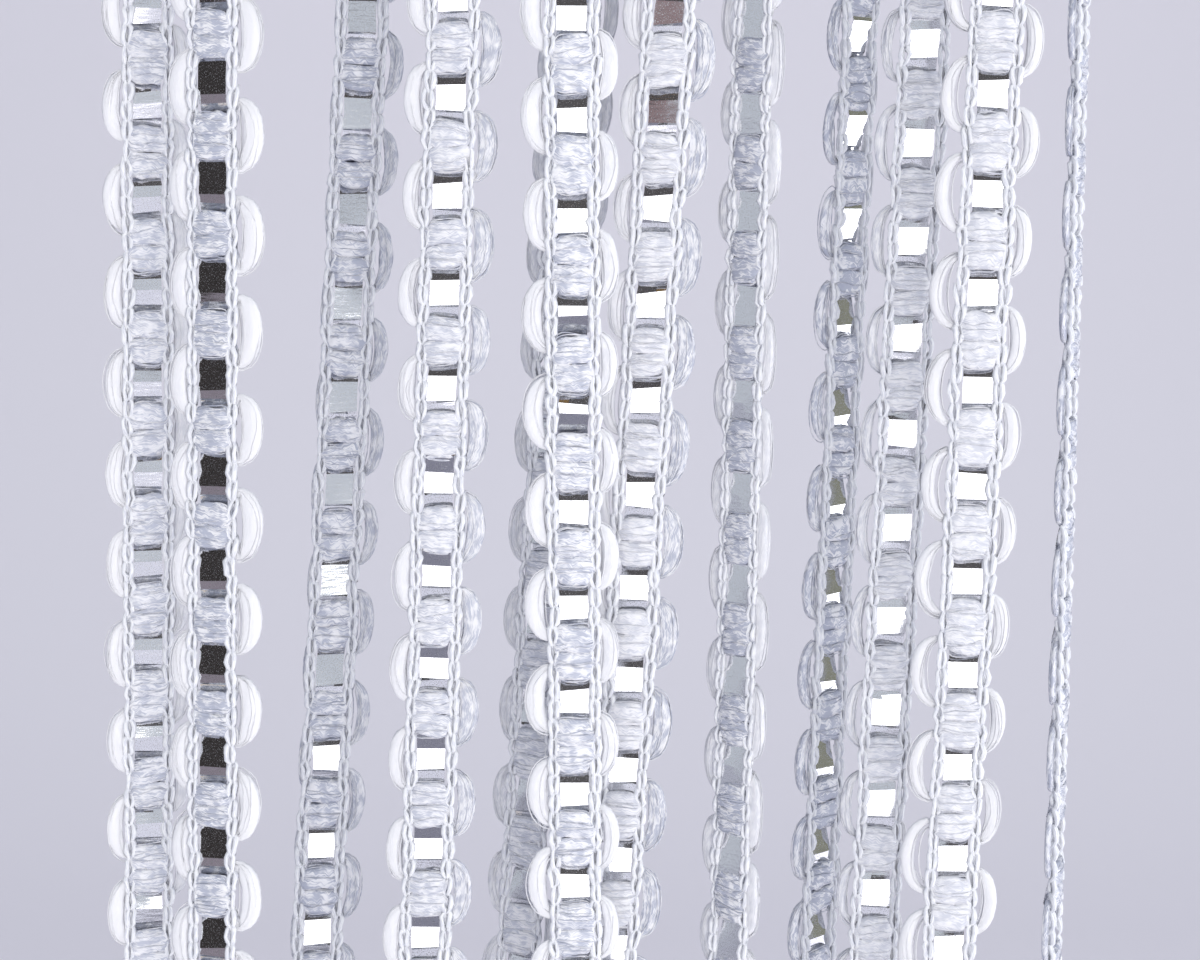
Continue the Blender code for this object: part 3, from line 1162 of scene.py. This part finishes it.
def bundle_rings(strand, yarn, ridges, sizes, rng):
    """Rings of the dense bundle, a flattened round, squarer in the pads, and how clear it is at each, for its
    painted shade.

    It has a ridge for each lock of filaments.
    """
    route = yarn_route(strand, yarn, yarn.left.bundle, yarn.right.bundle, sizes, rng)
    keys = yarn_keys(strand, route)
    corners = 2 * ridges
    twist = BUNDLE_TWIST * np.cumsum(rng.uniform(0.0, 1.0, len(keys.across)))[:, None]
    turn = (np.arange(corners) / corners + twist) % 1.0
    aside = 4 * np.abs(turn - 0.5) - 1
    face = np.where(turn < 0.5, 1.0, -1.0)
    squareness = LOOP_SQUARENESS + PAD_SQUARENESS * keys.pad[:, None]
    forward = face * (1 - np.abs(aside) ** squareness) ** (1 / squareness)
    crest = np.where(np.arange(corners) % 2 == 0, 1.0, -1.0)
    ridge = RIDGE_HEIGHT * rng.uniform(*RIDGE_VARIES, forward.shape) * crest
    ridge = ridge * np.minimum(1.0, RIDGE_FADE * np.abs(forward))
    ridge = ridge * (DENSE_RIDGES + (1 - DENSE_RIDGES) * keys.clear[:, None])
    aside = aside * (1 + RIDGE_UNEVEN * rng.normal(0.0, 1.0, aside.shape)) * keys.spread[:, None]
    forward = forward * keys.thickness[:, None] + face * ridge
    rings = beside_route(strand, keys, aside, forward, in_mm(sizes.chain_place))[:, None]
    return rings, smooth_path(keys.clear, ROUTE_STEPS)


# The loose bundles: how far round the dense one they are fanned out and wander, in radians, how fast they
# wander from point to point, the share of their own diameter that they stand off it, how much wider than
# the loose yarn's spread they lie, and the corners of their rings
LOOSE_FAN = 1.5
LOOSE_WANDER = 0.8
WANDER_STEP = 0.2
LOOSE_STAND_OFF = 0.3
LOOSE_WIDER = 1.03
LOOSE_SIDES = 3


def loose_paths(strand, yarn, count, sizes, rng):
    """The middle lines of the loose bundles, which lie on the dense one, and how clear they are, for their
    painted shade.
    """
    route = yarn_route(strand, yarn, yarn.left.loose, yarn.right.loose, sizes, rng)
    keys = yarn_keys(strand, route)
    share = (np.arange(count) + 0.5) / count * 2 - 1
    wander = np.cumsum(rng.normal(0.0, WANDER_STEP, (len(keys.across), count)), axis=0)
    aside = np.sin(LOOSE_FAN * share + LOOSE_WANDER * np.sin(wander))
    face = np.where(np.arange(count) % 2 == 0, 1.0, -1.0)
    face = face + (-1.0 - face) * keys.pad[:, None]
    stand_off = LOOSE_STAND_OFF * in_mm(sizes.filament)
    above = keys.thickness[:, None] * np.sqrt(np.maximum(0.0, 1 - aside**2)) + stand_off
    aside = aside * keys.spread[:, None] * LOOSE_WIDER
    paths = beside_route(strand, keys, aside, face * above, in_mm(sizes.chain_place))
    return paths, smooth_path(keys.clear, ROUTE_STEPS)


# Share of the ridges and loose bundles on a strand that neither the middle nor the near box lights
BACK_DETAIL = 0.6


class CURTAIN_OT_yarn(bpy.types.Operator):
    """Add the looped filament yarn of every strand"""

    bl_idname = "string_curtain.yarn"
    bl_label = "Looped yarn"

    def execute(self, context):
        sizes = context.scene.strand_sizes
        material = yarn_material(context.scene.curtain_finishes.yarn)
        for number, (strand, yarn) in enumerate(zip(STRANDS, YARNS), start=1):
            detail = 1.0 if yarn.light else BACK_DETAIL
            ridges = round(detail * sizes.ridges)
            rng = np.random.default_rng(YARN_SEED + number)
            name = piece_name(number, "yarn")
            around = LOCK_WIDTH * np.arange(2 * ridges + 1) / 2
            rings, clear = bundle_rings(strand, yarn, ridges, sizes, rng)
            add_yarn_piece(name, ring_mesh(name, rings, around), clear, material)
            name = piece_name(number, "loose_filaments")
            paths, clear = loose_paths(strand, yarn, round(detail * sizes.filaments), sizes, rng)
            mesh = thread_mesh(name, paths, in_mm(sizes.filament) / 2, LOOSE_SIDES)
            add_yarn_piece(name, mesh, clear, material)
        return {"FINISHED"}


# Heading tape

# Rows of corners up each layer of the tape and degrees between them round its fold, and the corners'
# spacing along it in millimetres
LAYER_ROWS = 24
FOLD_STEP = 30
COLUMN_SPACING = 0.5

# The row of stitches: its height, how far a stitch arches up from its ends, how deep they dip into the cloth
# and the radius of its thread, in millimetres, the share of its length that it takes up, and its points and
# its thread's corners
STITCH_LEVEL = -9.8
STITCH_ARCH = 0.10
STITCH_DIP = 0.06
STITCH_RADIUS = 0.11
STITCH_SHOWS = 0.88
STITCH_POINTS = 9
STITCH_SIDES = 6


def heading_section(sizes):
    """The folded tape seen from its end: depth and height of its middle surface, front edge to back edge."""
    thickness = in_mm(sizes.cloth_thickness)
    half = (TAPE_THICKNESS - thickness) / 2
    top = -thickness / 2 - half
    bottom = -TAPE_HEIGHT
    rows = [bottom + (top - bottom) * row / LAYER_ROWS for row in range(LAYER_ROWS)]
    front = [(-half, height) for height in rows]
    fold = [
        (-half * math.cos(math.radians(turn)), top + half * math.sin(math.radians(turn)))
        for turn in range(0, 181, FOLD_STEP)
    ]
    back = [(half, height) for height in reversed(rows)]
    return np.array([*front, *fold, *back])


def heading_mesh(name, sizes):
    """The heading tape's cloth, one row of corners for each place along its middle line."""
    section = heading_section(sizes)
    columns = round(TAPE_LINE.run[-1] / COLUMN_SPACING)
    run = np.linspace(0.0, TAPE_LINE.run[-1], columns + 1)
    points = on_tape(run[:, None], section[:, 0], section[:, 1])
    rows = len(section)
    index = np.arange(points.shape[0] * rows).reshape(-1, rows)
    quads = np.stack([index[:-1, :-1], index[1:, :-1], index[1:, 1:], index[:-1, 1:]], axis=-1)
    mesh = bpy.data.meshes.new(name)
    mesh.from_pydata(points.reshape(-1, 3) * MM, [], quads.reshape(-1, 4).tolist())
    girth = run_along(section)
    map_patterns(mesh, np.stack(np.broadcast_arrays(run[:, None], girth), axis=-1).reshape(-1, 2))
    mesh.shade_smooth()
    return mesh


def stitch_paths(sizes):
    """The stitches that close the tape, on its front and its back."""
    length = in_mm(sizes.stitch_length)
    surface = TAPE_THICKNESS / 2
    count = int(TAPE_LINE.run[-1] / length)
    share = np.linspace(0.0, 1.0, STITCH_POINTS)[:, None]
    run = length * (np.arange(count) + (1 - STITCH_SHOWS) / 2 + STITCH_SHOWS * share)
    lift = STITCH_ARCH * np.sin(math.pi * share) ** 0.5 - STITCH_DIP
    sides = [on_tape(run, side * (surface + lift), STITCH_LEVEL + 0.0 * run) for side in (-1, 1)]
    return np.concatenate(sides, axis=1)


class CURTAIN_OT_heading(bpy.types.Operator):
    """Add the folded heading tape and its row of stitches"""

    bl_idname = "string_curtain.heading"
    bl_label = "Heading tape"

    def execute(self, context):
        sizes = context.scene.heading_sizes
        finishes = context.scene.curtain_finishes
        cloth = cloth_material(finishes.cloth, in_mm(sizes.thread_pitch))
        tape = new_object("heading_tape", heading_mesh("heading_tape", sizes), cloth)
        thick = tape.modifiers.new("cloth", "SOLIDIFY")
        thick.thickness = sizes.cloth_thickness
        thick.offset = 0.0
        dress(tape)
        mesh = thread_mesh("heading_stitches", stitch_paths(sizes), STITCH_RADIUS, STITCH_SIDES)
        stitches = new_object("heading_stitches", mesh, sewing_material(finishes.cloth))
        dress(stitches)
        return {"FINISHED"}


# Studio

# The paper, in metres: the height of its floor, how far behind the origin its wall stands, the radius and
# the steps of the bend between them, how far it reaches to the sides and the front, and its upper edge
PAPER_FLOOR = -0.25
PAPER_WALL = 0.8
PAPER_BEND = 0.3
BEND_STEPS = 12
PAPER_REACH = 8.0
PAPER_TOP = 1.2

# The colour of the room's even light, then those of the lamps
ROOM = "C6CBD4"
WHITE = (1.0, 0.985, 0.968)
WARM = (1.0, 0.965, 0.92)
COOL = (0.97, 0.98, 1.0)

# What the cards are covered with: their colours and the light that they give by themselves
Cover = namedtuple("Cover", "colour glow")
COVERS = {
    "black_felt": Cover("35302C", 0.0),
    "grey_felt": Cover("5A5754", 0.0),
    "brown_felt": Cover("84693A", 0.0),
    "olive_felt": Cover("94947C", 0.0),
    "rosy_felt": Cover("9E8682", 0.0),
    "mauve_felt": Cover("9C9296", 0.0),
    "ash_felt": Cover("A2A0AA", 0.0),
    "lavender_diffuser": Cover("F4F3F8", 0.11),
    "beige_felt": Cover("F0E4D4", 0.0),
}

# The cards that the film mirrors: where they stand round the curtain, in degrees and metres, how wide and
# how high they look from it, in degrees, and what covers them
Card = namedtuple("Card", "name azimuth elevation distance spread cover")
CARDS = [
    Card("overhead_card", -12, 36, 0.36, (64, 20), "grey_felt"),
    Card("ceiling_card", -12, 61, 0.35, (64, 30), "brown_felt"),
    Card("left_card", -38, 10, 0.30, (24, 78), "black_felt"),
    Card("right_card", 93, 12, 0.35, (28, 40), "olive_felt"),
    Card("floor_card", 0, -80, 0.17, (90, 40), "grey_felt"),
    Card("rosy_card", -13, 20, 0.40, (16, 12), "rosy_felt"),
    Card("mauve_card", -37, -22, 0.28, (24, 14), "mauve_felt"),
    Card("pale_card", 4, -28, 0.30, (60, 12), "lavender_diffuser"),
    Card("low_card", 4, -48, 0.26, (60, 26), "ash_felt"),
    Card("beige_card", -42, -44, 0.30, (26, 26), "beige_felt"),
]


def facing(item, place, target):
    """Puts a camera, light or card at a place and turns it to its target."""
    item.location = place
    item.rotation_euler = (target - place).to_track_quat("-Z", "Y").to_euler()


def add_camera():
    """The camera, at the photo's angle and closeness."""
    data = bpy.data.cameras.new("camera")
    data.sensor_width = SENSOR
    data.lens = SENSOR * CAMERA_DISTANCE / VIEW_WIDTH
    data.clip_start = 0.005
    data.clip_end = 50.0
    camera = bpy.data.objects.new("camera", data)
    bpy.context.scene.collection.objects.link(camera)
    facing(camera, around_aim(0.0, CAMERA_PITCH, CAMERA_DISTANCE), AIM)
    bpy.context.scene.camera = camera


def add_box_light(name, place, target, size, radiance, colour):
    """A soft box that faces its target. radiance is how bright it looks."""
    data = bpy.data.lights.new(name, "AREA")
    data.shape = "RECTANGLE"
    data.size, data.size_y = size
    data.energy = radiance * math.pi * size[0] * size[1]
    data.color = colour
    light = bpy.data.objects.new(name, data)
    bpy.context.scene.collection.objects.link(light)
    facing(light, place, target)
    return light


def light_only(light, items):
    """Keeps a light to some of the pieces."""
    lit = bpy.data.collections.new(f"lit_by_{light.name}")
    for item in items:
        lit.objects.link(item)
    light.light_linking.receiver_collection = lit


def add_card(card, material):
    """A card outside the picture that only mirrors see."""
    width, height = (card.distance * math.tan(math.radians(angle / 2)) for angle in card.spread)
    mesh = bpy.data.meshes.new(card.name)
    corners = [(-width, -height, 0), (width, -height, 0), (width, height, 0), (-width, height, 0)]
    mesh.from_pydata(corners, [], [(0, 1, 2, 3)])
    item = new_object(card.name, mesh, material)
    facing(item, around_aim(card.azimuth, card.elevation, card.distance), AIM)
    item.visible_camera = False
    item.visible_diffuse = False
    item.visible_shadow = False


def add_backdrop(colour):
    """Seamless paper: a wide floor that turns up into a wall far behind the curtain."""
    profile = [(-PAPER_REACH, PAPER_FLOOR)]
    for step in range(BEND_STEPS + 1):
        turn = math.radians(90 * step / BEND_STEPS)
        behind = PAPER_WALL - PAPER_BEND + PAPER_BEND * math.sin(turn)
        profile.append((behind, PAPER_FLOOR + PAPER_BEND - PAPER_BEND * math.cos(turn)))
    profile.append((PAPER_WALL, PAPER_TOP))
    corners = [(side * PAPER_REACH, y, z) for y, z in profile for side in (-1, 1)]
    faces = [(2 * i, 2 * i + 1, 2 * i + 3, 2 * i + 2) for i in range(len(profile) - 1)]
    mesh = bpy.data.meshes.new("paper_backdrop")
    mesh.from_pydata(corners, [], faces)
    mesh.shade_smooth()
    new_object("paper_backdrop", mesh, plain_material("seamless_paper", colour))


def add_lights():
    """Soft boxes: one in front and two more in its place for some of the strands, one at the right, and one
    for the paper wall alone.
    """
    front = around_aim(12, -4, 0.55)
    front_size = (0.46, 0.34)
    right = around_aim(88, -4, 0.5)
    above_wall = Vector((0.0, 0.3, 0.5))
    wall_middle = Vector((0.0, PAPER_WALL, 0.35))
    add_box_light("front_box", front, AIM, front_size, 2.0, WHITE)
    middle_box = add_box_light("middle_box", front, AIM, front_size, 1.1, WARM)
    near_box = add_box_light("near_box", front, AIM, front_size, 0.9, WARM)
    add_box_light("right_box", right, AIM, (0.28, 0.62), 3.0, COOL)
    wall_box = add_box_light("wall_box", above_wall, wall_middle, (0.6, 0.2), 1.5, WHITE)
    paper = bpy.data.objects["paper_backdrop"]
    others = [bpy.data.objects["heading_tape"], bpy.data.objects["heading_stitches"], paper]
    light_only(middle_box, strand_pieces(1) + others)
    light_only(near_box, strand_pieces(2) + others)
    light_only(wall_box, [paper])


def strand_pieces(boxes):
    """The pieces of the strands that at least that many of the middle and near boxes light."""
    numbers = [number for number, yarn in enumerate(YARNS, start=1) if yarn.light >= boxes]
    kinds = ("film", "yarn", "loose_filaments", "chains")
    return [bpy.data.objects[piece_name(number, kind)] for number in numbers for kind in kinds]


class CURTAIN_OT_stage(bpy.types.Operator):
    """Add the camera, the paper backdrop, the soft lights and the cards that the film mirrors"""

    bl_idname = "string_curtain.stage"
    bl_label = "Studio"

    def execute(self, context):
        scene = context.scene
        add_camera()
        add_backdrop(scene.curtain_finishes.backdrop)
        world = bpy.data.worlds.new("soft_room")
        world.use_nodes = True
        sky = world.node_tree.nodes["Background"]
        sky.inputs["Color"].default_value = (*linear_colour(ROOM), 1.0)
        sky.inputs["Strength"].default_value = 1.0
        scene.world = world
        add_lights()
        covers = {
            name: plain_material(name, linear_colour(cover.colour), cover.glow)
            for name, cover in COVERS.items()
        }
        for card in CARDS:
            add_card(card, covers[card.cover])
        scene.view_settings.view_transform = "Standard"
        return {"FINISHED"}


class CURTAIN_PT_panel(bpy.types.Panel):
    """The curtain's sizes, finishes and steps."""

    bl_idname = "CURTAIN_PT_panel"
    bl_label = "String curtain"
    bl_space_type = "VIEW_3D"
    bl_region_type = "UI"
    bl_category = "Curtain"

    def draw(self, context):
        for group in (
            context.scene.strand_sizes,
            context.scene.heading_sizes,
            context.scene.curtain_finishes,
        ):
            box = self.layout.box()
            for name in group.__annotations__:
                box.prop(group, name)
        for operator in OPERATORS:
            self.layout.operator(operator.bl_idname)


OPERATORS = [
    CURTAIN_OT_film,
    CURTAIN_OT_chains,
    CURTAIN_OT_yarn,
    CURTAIN_OT_heading,
    CURTAIN_OT_stage,
]
CLASSES = [StrandSizes, HeadingSizes, Finishes, *OPERATORS, CURTAIN_PT_panel]


def register():
    """Adds the curtain's classes to Blender, and its sizes and finishes to the scene."""
    for item in CLASSES:
        bpy.utils.register_class(item)
    bpy.types.Scene.strand_sizes = PointerProperty(type=StrandSizes)
    bpy.types.Scene.heading_sizes = PointerProperty(type=HeadingSizes)
    bpy.types.Scene.curtain_finishes = PointerProperty(type=Finishes)


def unregister():
    """Takes away what register adds."""
    del bpy.types.Scene.curtain_finishes
    del bpy.types.Scene.heading_sizes
    del bpy.types.Scene.strand_sizes
    for item in reversed(CLASSES):
        bpy.utils.unregister_class(item)


def main():
    """Builds the whole scene."""
    register()
    bpy.ops.string_curtain.film()
    bpy.ops.string_curtain.chains()
    bpy.ops.string_curtain.yarn()
    bpy.ops.string_curtain.heading()
    bpy.ops.string_curtain.stage()


if __name__ == "__main__":
    main()
